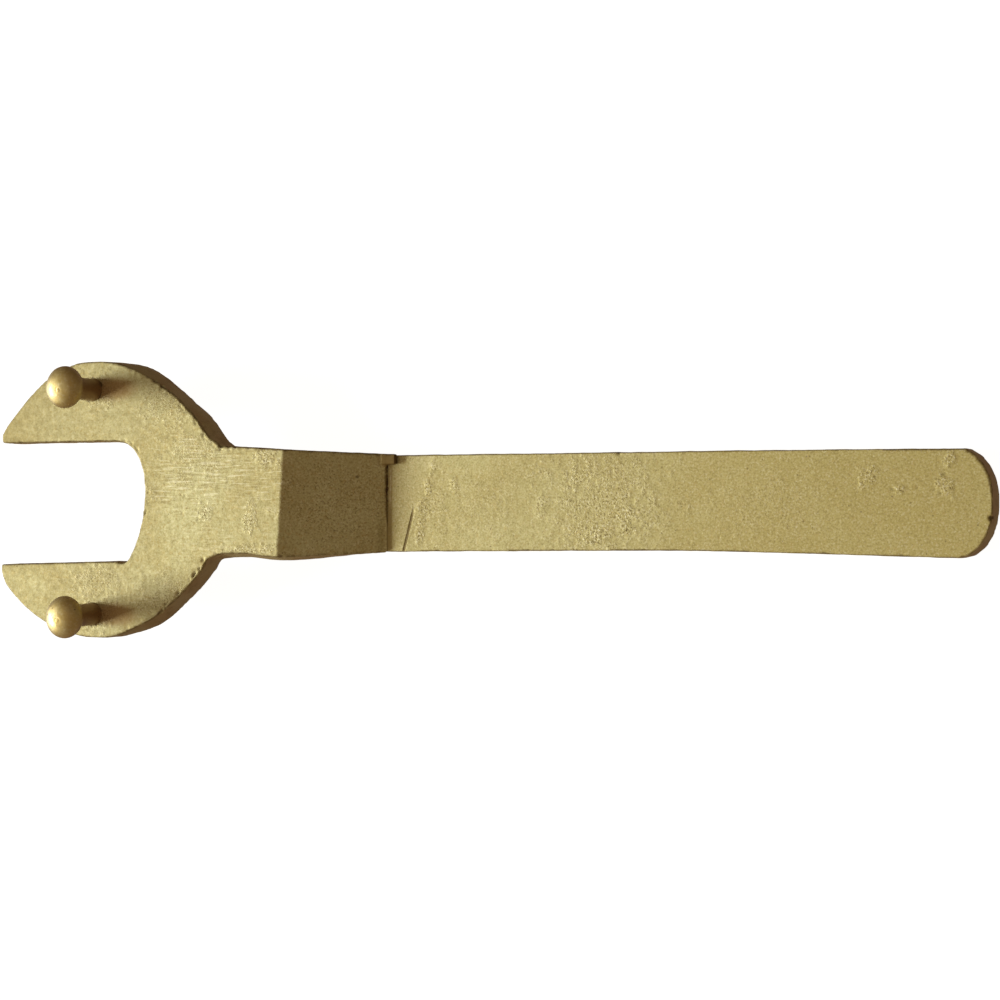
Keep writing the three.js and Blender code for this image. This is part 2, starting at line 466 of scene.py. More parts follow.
def clouded(m, cloud_size, mottle):
    """The ground tone: slow clouds of warm and bright brass, and a finer mottle."""
    clouds = m.noise(cloud_size, detail=3.0)
    tone = m.mix(m.ramp(clouds, 0.35, 0.68), WARM_BRASS, BRIGHT_BRASS)
    return m.mix(m.ramp(mottle, 0.4, 0.65, 0.0, 0.3), tone, BRIGHT_BRASS)


def gilded(m, tone, share):
    """Adds small golden spots."""
    spots = m.noise(1.1, detail=2.0)
    return m.mix(m.ramp(spots, 0.56, 0.66, 0.0, share), tone, GOLD_BRASS)


def speckled(m, tone, size, share):
    """Adds soft dark and bright grain to a tone."""
    grain = m.noise(size, detail=2.0, roughness=0.55)
    tone = m.mix(m.ramp(grain, 0.5, 0.32, 0.0, share), tone, DULL_BRASS)
    return m.mix(m.ramp(grain, 0.52, 0.7, 0.0, share), tone, SPARK_BRASS)


def painted_glints(m, tone, share):
    """Adds sparse bright flecks: painted glints where the grain of the metal would catch the light."""
    flecks = m.noise(0.45, detail=1.0, roughness=0.5)
    return m.mix(m.ramp(flecks, 0.63, 0.72, 0.0, share), tone, SPARK_BRASS)


def crumbled(m, tone, patch, size):
    """Colour and height of the crumbly patches: painted shade in their hollows, painted highlights on their
    crumbs.
    """
    crumbs = m.noise(size, detail=2.0, roughness=0.6, distortion=0.4)
    hollow = m.times(m.ramp(crumbs, 0.43, 0.35, 0.0, 0.8), patch)
    crest = m.times(m.ramp(crumbs, 0.56, 0.63, 0.0, 0.95), patch)
    tone = m.mix(hollow, tone, DARK_BRASS)
    tone = m.mix(crest, tone, SPARK_BRASS)
    return tone, m.times(crumbs, patch)


def pinholed(m, tone):
    """Adds a few small dark pinholes."""
    return m.mix(m.times(m.specks(0.8, 0.02), 0.5), tone, DARK_BRASS)


def cast_walls(m, tone, up):
    """Puts a duller, mottled tone on the walls, as they came out of the mould."""
    mould = m.noise(2.4, detail=4.0, roughness=0.7)
    skin = m.mix(m.ramp(mould, 0.54, 0.34, 0.0, 0.5), WALL_BRASS, DULL_BRASS)
    skin = m.mix(m.ramp(mould, 0.56, 0.68, 0.0, 0.5), skin, STAIN_AND_SHADOW_BRASS)
    skin = m.mix(m.ramp(m.noise(11.0, detail=2.0), 0.45, 0.62, 0.0, 0.4), skin, BRIGHT_BRASS)
    return m.mix(m.ramp(up, 0.5, 0.25), tone, skin)


def cast_relief(m, up, below):
    """The rough relief of the walls."""
    grit = m.noise(0.7, detail=4.0, roughness=0.7)
    return m.bump(m.times(grit, m.ramp(up, 0.5, 0.25)), 0.15, below)


def worn_edges(m, tone, up):
    """Makes edges bright in places and dark in others, mostly on the walls' side."""
    broken = m.noise(2.6, detail=3.0, roughness=0.7)
    near = m.times(m.ramp(m.attribute("edge"), 0.5, 1.0), m.ramp(up, 0.95, 0.7, 0.3, 1.0))
    tone = m.mix(m.times(near, m.ramp(broken, 0.6, 0.42, 0.2, 0.7)), tone, DARK_BRASS)
    return m.mix(m.times(near, m.ramp(broken, 0.6, 0.7, 0.0, 0.35)), tone, SPARK_BRASS)


def oxidised(m, tone, share):
    """Darkens the pits, the nicks and the dark lines, and on the fork the lip's painted shade."""
    return m.mix(m.ramp(m.attribute("dark_marks_and_shade"), 0.1, 0.9, 0.0, share), tone, DARK_OXIDE)


def fork_material():
    """Brass filed and brushed along the tool, crumbly in patches, with darker cast walls."""
    material, m = new_material("brushed_brass")
    up = m.facing("Z")
    mottle = m.noise(1.8, detail=3.0, roughness=0.6)
    lines = m.noise(0.52, detail=1.5, roughness=0.6, scale=(0.08, 1.0, 1.0), turn=0.015, distortion=0.3)
    brushed = m.attribute("brushed")

    tone = clouded(m, 14.0, mottle)
    tone = gilded(m, tone, 0.35)
    tone = speckled(m, tone, 0.6, 0.38)
    tone = m.mix(m.times(m.ramp(lines, 0.46, 0.36, 0.0, 0.4), brushed), tone, DULL_BRASS)
    tone = m.mix(m.times(m.ramp(lines, 0.55, 0.63, 0.0, 0.6), brushed), tone, SPARK_BRASS)
    tone = painted_glints(m, tone, 0.45)
    tone, crumbs = crumbled(m, tone, m.attribute("patch"), 0.5)
    tone = pinholed(m, tone)
    tone = cast_walls(m, tone, up)
    tone = worn_edges(m, tone, up)
    # duller arms and walls, and painted shade on the lip
    tone = m.mix(m.times(m.attribute("dull_and_lip_shade"), 0.6), tone, DULL_BRASS)
    # painted shadow beside each pin, and a little painted shade on the lip
    tone = m.mix(m.attribute("painted_shadow"), tone, STAIN_AND_SHADOW_BRASS)
    tone = oxidised(m, tone, 0.75)

    rough = m.ramp(mottle, 0.3, 0.7, 0.68, 0.78)

    normal = m.bump(m.noise(0.8, detail=2.0, roughness=0.5), 0.025)
    normal = m.bump(m.times(lines, brushed), 0.05, normal)
    normal = m.bump(crumbs, 0.17, normal)
    normal = cast_relief(m, up, normal)
    m.set(Base_Color=tone, Metallic=1.0, Roughness=rough, Normal=normal)
    return material


def bar_material():
    """Satin cast brass: finely grained, crumbly in patches, smoother where ground, golden to its end."""
    material, m = new_material("cast_brass")
    up = m.facing("Z")
    ground = m.attribute("ground")
    mottle = m.noise(2.4, detail=3.0, roughness=0.6)
    along = m.axis(m.place(), "X")
    burr = m.times(m.stroke(*BURR, 0.3), m.ramp(m.noise(1.5), 0.35, 0.6, 0.2, 0.8))
    scratch = m.times(m.stroke(*SCRATCH, 0.6), m.ramp(up, 0.5, 0.8))

    tone = clouded(m, 18.0, mottle)
    # more golden towards the end of the handle
    tone = m.mix(m.ramp(along, -15.0, 150.0, 0.25, 0.72), tone, GOLDEN_END_BRASS)
    tone = gilded(m, tone, 0.3)
    tone = speckled(m, tone, 0.55, 0.42)
    tone = painted_glints(m, tone, 0.5)
    tone, crumbs = crumbled(m, tone, m.attribute("patch"), 0.6)
    tone = pinholed(m, tone)
    tone = cast_walls(m, tone, up)
    tone = worn_edges(m, tone, up)
    # painted shade on the bar beside the crank's foot
    tone = m.mix(m.times(m.attribute("painted_foot_shade"), 0.8), tone, DULL_BRASS)
    tone = m.mix(burr, tone, SPARK_BRASS)
    tone = m.mix(m.times(scratch, 0.8), tone, DARK_BRASS)
    tone = oxidised(m, tone, 0.6)

    rough = m.math("SUBTRACT", m.ramp(mottle, 0.3, 0.7, 0.68, 0.78), m.times(ground, 0.1))

    pebble = m.noise(0.7, detail=2.0, roughness=0.6)
    normal = m.bump(m.times(pebble, m.ramp(ground, 0.0, 1.0, 1.0, 0.3)), 0.03)
    normal = m.bump(crumbs, 0.16, normal)
    normal = m.bump(scratch, -0.2, normal)
    normal = cast_relief(m, up, normal)
    m.set(Base_Color=tone, Metallic=1.0, Roughness=rough, Normal=normal)
    return material


def pin_material():
    """Turned brass, smoother skin, fine rings; painted light towards the mouth, painted shade on stem and
    underside.
    """
    material, m = new_material("turned_brass")
    patch = m.noise(3.0, detail=3.0, roughness=0.6)
    under_ball = (CAD_HIGH.z - 2 * BALL_HALF_HEIGHT) / MM  # the balls are the highest part of the tool
    height = m.axis(m.place(), "Z")

    tone = m.mix(m.ramp(patch, 0.35, 0.7), GOLD_BRASS, PALE_GOLD)
    tone = speckled(m, tone, 0.9, 0.2)
    # painted light: paler on the side towards the mouth
    tone = m.mix(m.ramp(m.facing("X"), 0.0, -0.9, 0.0, 0.7), tone, PAINTED_LIGHT_BRASS)
    # painted shade on the faces that look down
    tone = m.mix(m.ramp(m.facing("Z"), 0.15, -0.4, 0.0, 0.8), tone, PAINTED_SHADE_BRASS)
    # painted shade on the stem below the ball
    tone = m.mix(m.ramp(height, under_ball + 1.4, under_ball - 0.6), tone, PAINTED_SHADE_BRASS)
    tone = m.mix(m.times(m.specks(1.0, 0.06), 0.5), tone, DARK_OXIDE)

    rough = m.ramp(patch, 0.3, 0.7, 0.50, 0.60)

    rings = m.noise(0.25, detail=2.0, scale=(0.02, 0.02, 1.0))
    normal = m.bump(rings, 0.015)
    normal = m.bump(m.noise(0.8, detail=3.0), 0.02, normal)
    m.set(Base_Color=tone, Metallic=1.0, Roughness=rough, Normal=normal)
    m.set(Coat_Weight=0.5, Coat_Roughness=0.27)
    return material


def braze_material():
    """Dull, dark filler metal with a crust of flux."""
    material, m = new_material("braze_filler")
    crust = m.noise(0.5, detail=4.0, roughness=0.7)
    tone = m.mix(m.ramp(crust, 0.35, 0.65), FLUX_DARK, FLUX_LIGHT)
    rough = m.ramp(crust, 0.3, 0.7, 0.9, 0.7)
    m.set(Base_Color=tone, Metallic=0.4, Roughness=rough, Normal=m.bump(crust, 0.15))
    return material


# ---------------------------------------------------------------- wear

# Depths and heights in millimetres
NICK_DEPTH = 0.12
BITE_DEPTH = 0.6
CRUMBLE_HEIGHT = 0.035
FORK_WALL_SWELL = 0.15
BAR_WALL_SWELL = 0.18
CORNER_SWELL = 0.25

CREST_SKEW = 0.06  # the crest moves this far towards the handle for each step to the right

# Depths in metres from which a mark is as dark as it gets
BLACK_PIT = 0.2 * MM
BLACK_NOTCH = 0.4 * MM


def sunk_marks(co, marks, seed):
    """How deep each point is sunk by small ragged pits, given as (x, y, radius, depth)."""
    x = co[:, 0] / MM + waves(co, (0.7, 0.25, seed))
    y = co[:, 1] / MM + waves(co, (0.7, 0.25, seed + 1))
    depth = np.zeros(len(x))
    for mark_x, mark_y, radius, sink in marks:
        near = ((x - mark_x) ** 2 + (y - mark_y) ** 2) / radius**2
        depth = np.maximum(depth, sink * np.clip(1 - near, 0, 1))
    return depth * MM


def scattered_pits(ovals, seed):
    """Small pits at random over several ovals, as (x, y, radius, depth)."""
    chance = np.random.default_rng(seed)
    pits = []
    for centre_x, centre_y, half_x, half_y, count in ovals:
        for _ in range(count):
            angle = chance.uniform(0, 2 * math.pi)
            reach = math.sqrt(chance.uniform(0, 1))
            x = centre_x + half_x * reach * math.cos(angle)
            y = centre_y + half_y * reach * math.sin(angle)
            pits.append((x, y, chance.uniform(0.35, 0.65), chance.uniform(0.05, 0.14)))
    return pits


def patch_mask(co, patches, seed):
    """The strength of ragged patches, given as (x, y, half length, half width, strength), 0 outside."""
    x, y = co[:, 0] / MM, co[:, 1] / MM
    broken = waves(co, (2.6, 0.4, seed), (1.0, 0.5, seed + 1))
    mask = np.zeros(len(x))
    for centre_x, centre_y, half_x, half_y, strength in patches:
        reach = np.hypot((x - centre_x) / half_x, (y - centre_y) / half_y) + broken
        mask = np.maximum(mask, strength * (1 - smooth_step(reach, 0.35, 1.15)))
    return mask


class Skin:
    """The points of a fine copy, which way they face, and where wear moves them to."""

    def __init__(self, mesh):
        self.co = read_points(mesh)
        self.x, self.y, self.z = self.co.T
        self.normals = read_normals(mesh)
        self.pairs = edge_pairs(mesh)
        self.edge = edge_mask(self.co, self.normals, self.pairs)
        self.flat = smooth_step(self.normals[:, 2], 0.6, 0.85)
        self.wall = 1 - smooth_step(np.abs(self.normals[:, 2]), 0.3, 0.7)
        self.moved = self.co.copy()

    def push(self, amount):
        """Moves the points outwards by an amount in millimetres."""
        self.moved += self.normals * (amount * MM)[:, None]

    def push_sideways(self, directions, amount):
        """Moves the points level, along level directions, by an amount in millimetres."""
        self.moved[:, :2] += directions * (amount * MM)[:, None]

    def level(self, top, where):
        """Brings the upper face to its full height, right up to its edges."""
        upper = smooth_step(self.normals[:, 2], 0.3, 0.8) * (self.z > top - 0.8 * MM)
        self.moved[:, 2] += (top - self.z) * upper * where

    def nick(self, ragged):
        """Wears the outside edges where they are ragged, and returns how far from 0 to 1."""
        nick = np.clip(self.edge, 0, 1) * ragged
        self.push(-NICK_DEPTH * nick)
        return nick

    def crumble_and_sink(self, patch, crumble_seed, pits, pit_seed):
        """Roughens the crumbly patches, sinks the pits, and returns how deep they are in metres."""
        sunk = sunk_marks(self.co, pits, pit_seed) * self.flat
        crumble = waves(self.co, (0.8, CRUMBLE_HEIGHT, crumble_seed))
        self.moved[:, 2] += patch * crumble * MM - sunk
        return sunk


# ---------------------------------------------------------------- fork head


def fork_top(x):
    """Height of the fork's upper face at x: level, then falling along the crank."""
    crank_fall = PLATE_TOP - BRAZE_HIGH.z - 0.6 * MM
    return PLATE_TOP - crank_fall * np.clip((x - CREST_X) / CRANK_RUN, 0, 1.1)


def splay_walls(skin, depth):
    """Lets the lobes' walls lean out towards the underside in places, as they came out of the mould."""
    x, normals = skin.x, skin.normals
    right = 1.1 * bump_at(x, -98 * MM, 14 * MM) + 1.0 * bump_at(x, -76 * MM, 8 * MM)
    left = 0.8 * bump_at(x, -96 * MM, 11 * MM)
    left += 1.0 * smooth_step(x, -75 * MM, -68 * MM) * (1 - smooth_step(x, -50 * MM, -28 * MM))
    outward = normals[:, :2] / np.maximum(np.hypot(normals[:, 0], normals[:, 1]), 0.3)[:, None]
    skin.push_sideways(outward, np.where(skin.y > 0, right, left) * smooth_step(depth, 0.02, 0.6))


def feather_foot(skin):
    """Thins the foot's blunt end out to nothing towards the left edge of the bar."""
    blend = smooth_step(-skin.y, 1 * MM, 8 * MM) * smooth_step(skin.x, FOOT_X - 2.2 * MM, FOOT_X - 0.2 * MM)
    feather = BAR_TOP + 0.04 * MM + 0.08 * np.clip(skin.z - BAR_TOP, 0, None)
    skin.moved[:, 2] += (np.minimum(feather, skin.z) - skin.z) * blend
    skin.edge *= 1 - blend


def bite_lobes(skin):
    """Nicks the upper edges of both lobes badly on their side towards the handle."""
    x, z = skin.x, skin.z
    side = smooth_step(x, -108 * MM, -92 * MM) * (1 - smooth_step(x, -66 * MM, -60 * MM))
    side *= smooth_step(skin.normals[:, 0], -0.2, 0.1) * smooth_step(z, PLATE_TOP - 3 * MM, PLATE_TOP)
    broad = np.clip(2.5 * spread(np.clip(skin.edge, 0, 1), skin.pairs, 4), 0, 1)
    bites = smooth_step(waves(skin.co, (1.5, 1.0, 71), (0.8, 0.6, 72)), 0.0, 0.9) * broad * side
    skin.push(-BITE_DEPTH * bites)
    return bites


def round_the_pins(skin):
    """A narrow ring at each pin's foot, and a painted shadow on its handle side, where the pin's shadow
    falls.
    """
    ring = np.zeros(len(skin.x))
    painted_shadow = np.zeros(len(skin.x))
    for node in ("right_ball_pin", "left_ball_pin"):
        low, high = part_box(node)
        from_x = skin.x - (low.x + high.x) / 2
        from_y = skin.y - (low.y + high.y) / 2
        ring = np.maximum(ring, bump_at(np.hypot(from_x, from_y), 3.5 * MM, 0.9 * MM) * skin.flat)
        reach = np.hypot((from_x - 8 * MM) / 11, from_y / 4.5) / MM
        painted_shadow = np.maximum(painted_shadow, 0.5 * (1 - smooth_step(reach, 0.3, 1.0)) * skin.flat)
    return ring, painted_shadow


def dull_arms(skin):
    """Where the fork is duller: on both arms, more on the right one, and on the left half's walls."""
    dull = 0.4 * smooth_step(-skin.x, 85 * MM, 100 * MM)
    dull += 0.3 * smooth_step(-skin.x, 112 * MM, 140 * MM) * smooth_step(skin.y, 0, 10 * MM)
    return dull + 0.4 * skin.wall * (skin.y < 0)


def dark_lines_and_lip_shade(skin, depth, lip, speckle):
    """Painted shade on the lip's end and outer part, dark mouth-side rims, and darker upper and lower wall
    brinks.
    """
    x, z, facing_x = skin.x, skin.z, skin.normals[:, 0]
    # painted shade on the lip's end wall, which faces away from the light, and on the lip past the foot
    lip_end = smooth_step(x, FOOT_X + 1.5 * MM, FOOT_X + 2.5 * MM) * smooth_step(facing_x, 0.3, 0.7)
    lip_out = lip * smooth_step(x, FOOT_X - 0.6 * MM, FOOT_X + 0.4 * MM)
    rim = smooth_step(-facing_x, 0.1, 0.5) * np.clip(skin.edge, 0, 1) * (z > PLATE_TOP - 1 * MM)
    brink = skin.wall * (1 - smooth_step(depth, 0.06, 0.18)) * (0.4 + 0.6 * speckle)
    brink += 1.5 * (1 - skin.flat) * smooth_step(depth, 0.9, 0.98)
    return 0.6 * lip_end + 0.25 * lip_out + 0.5 * rim + 0.2 * brink


def build_fork_head(material):
    thing = fine_copy("fork_head", "fork_head_worn")
    mesh = thing.data
    skin = Skin(mesh)
    co, x, y, wall, flat = skin.co, skin.x, skin.y, skin.wall, skin.flat
    top = fork_top(x)
    depth = np.clip((top - skin.z) / PLATE_THICKNESS, 0, 1)  # 0 at the upper face, 1 at the underside

    # The upper face is level, the crest is skewed, and the walls stand a little further out than the grid's
    skin.level(top, x < FOOT_X - 1.0 * MM)
    skin.moved[:, 0] += CREST_SKEW * y * bump_at(x, CREST_X, 22 * MM)
    splay_walls(skin, depth)
    skin.push(wall * FORK_WALL_SWELL)
    feather_foot(skin)

    # Hand-filed unevenness: slow on the faces, coarser on the walls, and worn and nicked edges
    slow = waves(co, (11, 0.03, 3), (4, 0.01, 4))
    coarse = waves(co, (3.2, 0.07, 5), (1.3, 0.04, 6))
    skin.push(slow * (1 - wall) + coarse * wall)
    nick = skin.nick(smooth_step(waves(co, (1.7, 1.0, 7), (0.8, 0.5, 8)), 0.25, 1.1))
    bites = bite_lobes(skin)
    patch = patch_mask(co, FORK_PATCHES, 51) * flat
    sunk = skin.crumble_and_sink(patch, 9, scattered_pits(FORK_PITS, 11), 53)

    # Tones
    # The lip lies in the crank's shadow; the dull, shadow and dark-mark tones below give it painted shade
    lip = smooth_step(x, FOOT_X - 3 * MM, FOOT_X) * smooth_step(y, LIP_Y - 1 * MM, LIP_Y)
    speckle = smooth_step(waves(co, (0.8, 1.0, 70)), -0.1, 0.5)
    ring, painted_shadow = round_the_pins(skin)
    # nicks, bites, pin rings and dark lines, with the lip's painted shade among them
    dark = 0.4 * nick + 0.6 * bites + ring * speckle + dark_lines_and_lip_shade(skin, depth, lip, speckle)
    write_points(mesh, skin.moved)
    store(mesh, "edge", skin.edge)
    store(mesh, "patch", patch)
    store(mesh, "brushed", patch_mask(co, BRUSHED_PATCHES, 55) * flat)
    store(mesh, "dull_and_lip_shade", np.clip(dull_arms(skin) + 1.6 * lip, 0, 1.6))
    store(mesh, "painted_shadow", np.maximum(painted_shadow, 0.15 * lip))
    store(mesh, "dark_marks_and_shade", np.clip(sunk / BLACK_PIT + dark, 0, 1))
    finish_piece(thing, "fork_head", material)


# ---------------------------------------------------------------- handle bar


def round_corner(skin):
    """Lets the outline of the bar's end out a little on its way round to the right edge."""
    outline = smooth_step(np.hypot(skin.normals[:, 0], skin.normals[:, 1]), 0.2, 0.5)
    corner = outline * smooth_step(skin.y, 0, 6 * MM) * smooth_step(skin.normals[:, 0], 0.2, 0.5)
    skin.push_sideways(skin.normals[:, :2], CORNER_SWELL * corner)


def build_handle_bar(material):
    thing = fine_copy("handle_bar", "handle_bar_worn")
    mesh = thing.data
    skin = Skin(mesh)
    co, x, y, wall, flat = skin.co, skin.x, skin.y, skin.wall, skin.flat

    # Ground smooth beside the foot, up to a slanting line
    ground_end = -12.4 * MM + 0.34 * (y + 2.0 * MM)
    ground = 1 - smooth_step(x, ground_end - 1.2 * MM, ground_end + 1.2 * MM)

    # Slow unevenness and a fine grain on the faces, coarser on the walls
    slow = waves(co, (14, 0.035, 21), (5, 0.012, 22))
    grain = waves(co, (1.1, 0.008, 23)) * (1 - ground)
    coarse = waves(co, (3.5, 0.07, 24), (1.3, 0.035, 25))
    skin.push(slow + grain * (1 - wall) + coarse * wall)

    # The upper face is level, and the walls stand a little further out than the grid's
    skin.level(BAR_TOP, 1.0)
    skin.push(wall * BAR_WALL_SWELL)
    round_corner(skin)

    # Worn and slightly nicked edges, with two deep nicks, crumbly patches and pits
    nick = skin.nick(smooth_step(waves(co, (1.9, 1.0, 26), (0.9, 0.5, 27)), 0.4, 1.2))
    notch = sunk_marks(co, BAR_NOTCHES, 57) * smooth_step(skin.z, 0.6 * BAR_TOP, 0.95 * BAR_TOP)
    skin.moved[:, 2] -= notch
    patch = patch_mask(co, BAR_PATCHES, 61) * flat * (1 - ground)
    sunk = skin.crumble_and_sink(patch, 28, scattered_pits(BAR_PITS, 12), 63)

    # Painted shade beside the foot, mostly along its left half
    painted_foot_shade = 1 - smooth_step(x, FOOT_X - 0.2 * MM, FOOT_X + 3.6 * MM)
    painted_foot_shade *= 0.2 + 0.8 * smooth_step(-y, -1 * MM, 5 * MM)

    write_points(mesh, skin.moved)
    store(mesh, "edge", skin.edge)
    store(mesh, "painted_foot_shade", painted_foot_shade * flat)
    store(mesh, "ground", ground)
    store(mesh, "patch", patch)
    store(mesh, "dark_marks_and_shade", np.clip(sunk / BLACK_PIT + 0.5 * nick + notch / BLACK_NOTCH, 0, 1))
    finish_piece(thing, "handle_bar", material)


# ---------------------------------------------------------------- braze

BRAZE_STEPS = 180


def braze_front():
    """Points along the film's ragged front edge. It reaches out under the lip, and stays back under the
    foot's left half, where the foot is feathered.
    """
    y = np.linspace(BRAZE_LOW.y, BRAZE_HIGH.y, BRAZE_STEPS + 1)
    front = np.where(y > LIP_Y, BRAZE_HIGH.x, FOOT_X)
    ragged = waves(np.stack([front, y, np.zeros(len(y))], axis=1), (1.4, 1.0, 31), (0.6, 0.6, 32))
    covered = smooth_step(-y, 0.0, 6 * MM)
    front = front + ((0.08 + 0.35 * ragged) * (1 - covered) - 2.4 * covered) * MM
    return zip(y, np.minimum(front, BRAZE_HIGH.x))


def build_braze(material):
    """A thin film, made of five-sided sections one after another across the bar."""
    back, low, high = BRAZE_LOW.x, BRAZE_LOW.z, BRAZE_HIGH.z
    verts = []
    for y, front in braze_front():
        verts.append((back, y, low))
        verts.append((front - 0.1 * MM, y, low))
        verts.append((front, y, (low + high) / 2))
        verts.append((front - 0.15 * MM, y, high))
        verts.append((back + 0.5 * MM, y, high))
    ring = 5
    faces = []
    for i in range(BRAZE_STEPS):
        for k in range(ring):
            a, b = i * ring + k, i * ring + (k + 1) % ring
            faces.append((a, b, b + ring, a + ring))
    last = BRAZE_STEPS * ring
    faces.append(tuple(range(ring - 1, -1, -1)))
    faces.append(tuple(range(last, last + ring)))
    thing = link(new_mesh("braze_film", verts, faces), "braze_film")
    finish_piece(thing, "braze_seam", material)


# ---------------------------------------------------------------- ball pins

# Radii as shares of the ball's
STEM_SHARE = 0.536
TENON_SHARE = 0.432
RIVET_SHARE = 0.672

FILLET = 0.35 * MM  # at the stem's foot
DENT_SHARE = 0.006  # how far the ball is dented at most, as a share of its size

# The lathe pip stands inside a shallow ring: its depth, then its radius and softness in millimetres
PIP_DEPTH = 0.05 * MM
PIP_RADIUS = 0.7
PIP_SOFTNESS = 0.08
STEM_RINGS = 14
BALL_RINGS = 48
PIN_SIDES = 112


def pin_profile(low, high, radius):
    """Radius and height of a turned pin, from its riveted end to its pole. Height 0 is the plate's top."""
    centre = high - BALL_HALF_HEIGHT
    stem = STEM_SHARE * radius
    tenon = TENON_SHARE * radius

    # The riveted end, slightly domed, and the tenon in the plate
    outline = [(0.0, low + 0.02 * MM)]
    outline += [(RIVET_SHARE * radius * f, low + 0.3 * MM * f**4) for f in (0.3, 0.6, 0.85, 1.0)]
    outline += [(tenon, low + 1.6 * MM), (tenon, -0.4 * MM)]

    # The stem, a little wider at its foot and where it meets the ball
    outline += [(stem * 1.05, -0.4 * MM), (stem * 1.05, 0.0), (stem * 1.01, FILLET)]
    neck = centre - BALL_HALF_HEIGHT * math.sqrt(1 - STEM_SHARE**2)
    for i in range(1, STEM_RINGS + 1):
        outline.append((stem, FILLET + (neck - 0.75 * MM) * i / STEM_RINGS))
    outline.append((stem * 1.03, neck - 0.15 * MM))

    # The ball, which is flatter than a true sphere
    start = math.asin(stem * 1.1 / radius)
    for i in range(BALL_RINGS):
        angle = start + (math.pi - start) * i / BALL_RINGS
        outline.append((radius * math.sin(angle), centre - BALL_HALF_HEIGHT * math.cos(angle)))
    outline.append((0.0, high))
    return outline


def lathe(name, outline):
    """Turns an outline of (radius, height) about Z. Its first and last points lie on the axis."""
    verts, faces = [], []
    sides = PIN_SIDES
    inner = outline[1:-1]
    for r, z in inner:
        for k in range(sides):
            angle = 2 * math.pi * k / sides
            verts.append((r * math.cos(angle), r * math.sin(angle), z))
    for i in range(len(inner) - 1):
        for k in range(sides):
            a, b = i * sides + k, i * sides + (k + 1) % sides
            faces.append((a, b, b + sides, a + sides))
    bottom, top = len(verts), len(verts) + 1
    verts += [(0, 0, outline[0][1]), (0, 0, outline[-1][1])]
    last = (len(inner) - 1) * sides
    for k in range(sides):
        follow = (k + 1) % sides
        faces.append((bottom, follow, k))
        faces.append((top, last + k, last + follow))
    return new_mesh(name, verts, faces)


def build_pin(node, material, lean, pip_x, pip_y, seed):
    """One pin, which leans by some degrees, with its lathe pip some millimetres from its axis."""
    low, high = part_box(node)
    foot = ((low.x + high.x) / 2, (low.y + high.y) / 2, PLATE_TOP)
    outline = pin_profile(low.z - PLATE_TOP, high.z - PLATE_TOP, (high.x - low.x) / 2)
    mesh = lathe(node + "_turned", outline)
    co = read_points(mesh)
    height = np.clip(co[:, 2], 0, None)
    ball = smooth_step(height, 9 * MM, 10 * MM)  # 0 on the stem, 1 on the ball

    # Slightly dented ball, a lathe pip beside the pole, and a pin that doesn't stand quite straight
    dents = waves(co + seed * MM, (3.5, DENT_SHARE, 40 + seed)) * ball
    co *= (1 - np.abs(dents))[:, None]
    from_pip = np.hypot(co[:, 0] - pip_x * MM, co[:, 1] - pip_y * MM) / MM
    co[:, 2] -= ball * PIP_DEPTH * np.exp(-((from_pip - PIP_RADIUS) ** 2) / PIP_SOFTNESS)
    co[:, 1] += height * math.tan(math.radians(lean))
    write_points(mesh, co + np.array(foot))
    thing = link(mesh, node + "_turned")
    finish_piece(thing, node, material)


# ---------------------------------------------------------------- floor and backdrop

FLOOR_HALF = 7.0
WALL_RADIUS, WALL_HEIGHT, WALL_SIDES = 6.5, 6.0, 64


def plain_stage(thing, emission):
    """A pale surface that gives its own light, but throws none of it on the tool."""
    material, m = new_material(thing.name + "_white")
    m.set(Base_Color=(0.3, 0.3, 0.3, 1.0), Roughness=1.0, Specular_IOR_Level=0.0)
    m.set(Emission_Color=(1.0, 0.995, 0.985, 1.0), Emission_Strength=emission)
    thing.data.materials.append(material)
    thing.visible_glossy = False
    thing.visible_diffuse = False


def build_floor():
    h, z = FLOOR_HALF, CAD_LOW.z
    corners = [(-h, -h, z), (h, -h, z), (h, h, z), (-h, h, z)]
    plain_stage(link(new_mesh("floor", corners, [(0, 1, 2, 3)]), "floor"), 0.97)


def build_backdrop():
    """A pale wall all round, far outside the lights."""
    verts, faces = [], []
    for k in range(WALL_SIDES):
        angle = 2 * math.pi * k / WALL_SIDES
        verts.append((WALL_RADIUS * math.cos(angle), WALL_RADIUS * math.sin(angle), 0.0))
        verts.append((WALL_RADIUS * math.cos(angle), WALL_RADIUS * math.sin(angle), WALL_HEIGHT))
        a, b = 2 * k, 2 * ((k + 1) % WALL_SIDES)
        faces.append((a, b, b + 1, a + 1))
    wall = link(new_mesh("backdrop", verts, faces), "backdrop")
    wall.visible_shadow = False
    plain_stage(wall, 0.95)


# ---------------------------------------------------------------- light

BELOW_TONE = (0.180, 0.123, 0.112, 1.0)
ABOVE_TONE = (0.19, 0.135, 0.094, 1.0)
DARK_WAY = (0.35, 0.94, 0.0)  # the horizon is darkest this way, and brightest the other way


def softbox(name, azimuth, elevation, distance, size, power, colour):
    """A rectangular light that faces the middle of the tool. Azimuth 0 is +X and 90 is +Y."""
    data = bpy.data.lights.new(name, "AREA")
    data.shape = "RECTANGLE"
    data.size, data.size_y = size
    data.energy = power
    data.color = colour
    light = bpy.data.objects.new(name, data)
    a, e = math.radians(azimuth), math.radians(elevation)
    away = Vector((math.cos(a) * math.cos(e), math.sin(a) * math.cos(e), math.sin(e)))
    light.location = away * distance
    light.rotation_euler = away.to_track_quat("Z", "Y").to_euler()
    bpy.context.scene.collection.objects.link(light)


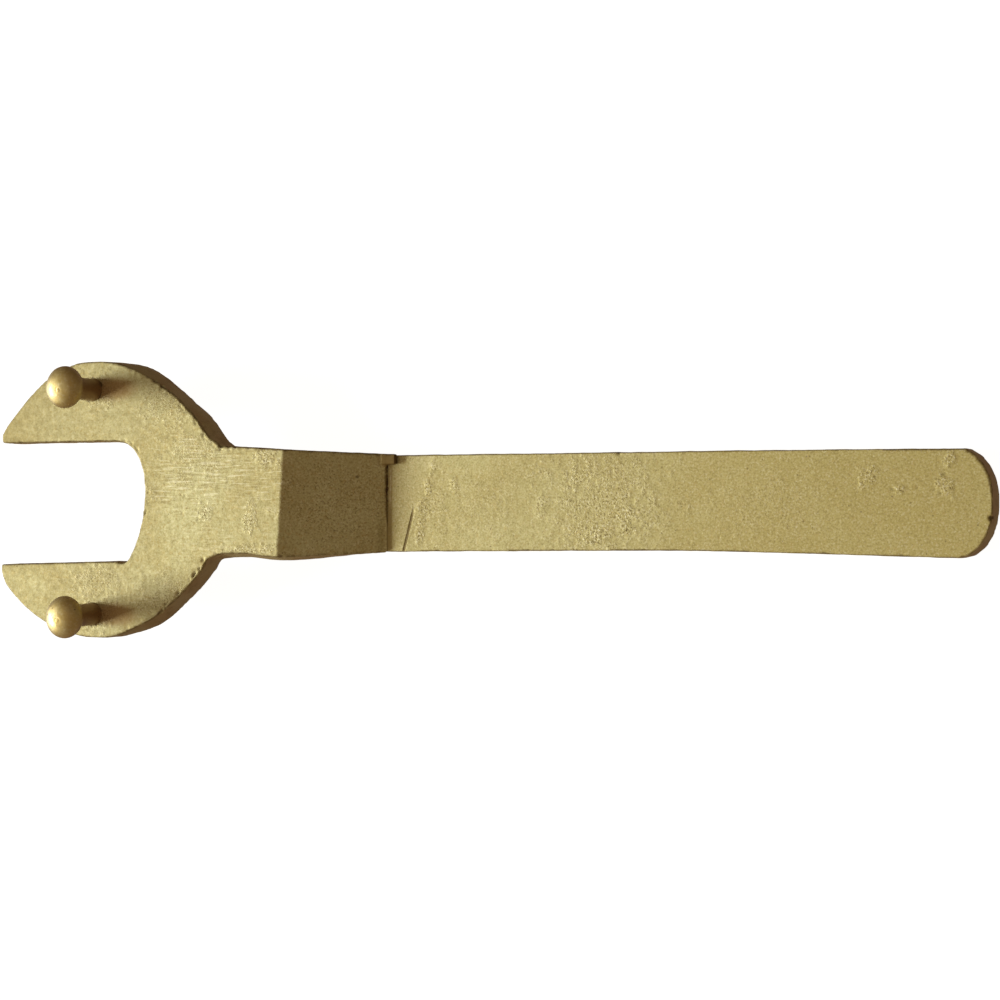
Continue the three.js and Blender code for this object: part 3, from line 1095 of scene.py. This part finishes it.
def build_world():
    """Dim surroundings, pinker below, whose horizon is darker to the tool's right than to its left."""
    world = bpy.data.worlds.new("studio")
    world.use_nodes = True
    m = Nodes(world.node_tree, world.node_tree.nodes["Background"])
    direction = m.add("ShaderNodeTexCoord").outputs["Generated"]
    side = m.add("ShaderNodeVectorMath", {0: direction, 1: DARK_WAY}, operation="DOT_PRODUCT")
    height = m.axis(direction, "Z")
    tone = m.mix(m.ramp(height, -0.5, 0.0, shape="LINEAR"), BELOW_TONE, ABOVE_TONE)
    band = m.ramp(m.math("ABSOLUTE", height), 0.2, 0.75, -0.5, 0.0, "LINEAR")
    m.set(Color=tone, Strength=m.math("MULTIPLY_ADD", side.outputs["Value"], band, 1.0))
    bpy.context.scene.world = world


def build_light():
    build_world()
    softbox("key", 187.5, 24.5, distance=5.0, size=(2.2, 0.85), power=198.0, colour=(1.0, 0.985, 0.95))
    softbox("overhead", 180.0, 82.0, distance=3.0, size=(3.0, 3.0), power=4.6, colour=(1.0, 0.80, 0.60))


# ---------------------------------------------------------------- camera

CAMERA_PLACE = (0.25943, -0.00599, 0.49496)
CAMERA_TURN = (0.816, 26.723, 0.246)  # degrees about X, Y and Z, from looking straight down
CAMERA_LENS = 70.77  # mm on a 36 mm sensor


def build_camera():
    """A view from above and past the end of the handle, looking down and back along the tool."""
    data = bpy.data.cameras.new("camera")
    data.sensor_width = 36.0
    data.lens = CAMERA_LENS
    camera = bpy.data.objects.new("camera", data)
    turn = Euler([math.radians(angle) for angle in CAMERA_TURN])
    camera.matrix_world = Matrix.Translation(CAMERA_PLACE) @ turn.to_matrix().to_4x4()
    bpy.context.scene.collection.objects.link(camera)
    bpy.context.scene.camera = camera


# ---------------------------------------------------------------- the whole scene

bpy.context.scene.view_settings.view_transform = "Standard"
build_camera()
build_light()
build_floor()
build_backdrop()

build_fork_head(fork_material())
build_handle_bar(bar_material())
build_braze(braze_material())
pin_brass = pin_material()
build_pin("right_ball_pin", pin_brass, lean=0.0, pip_x=0.3, pip_y=-1.1, seed=1)
build_pin("left_ball_pin", pin_brass, lean=-1.8, pip_x=0.2, pip_y=-0.7, seed=2)
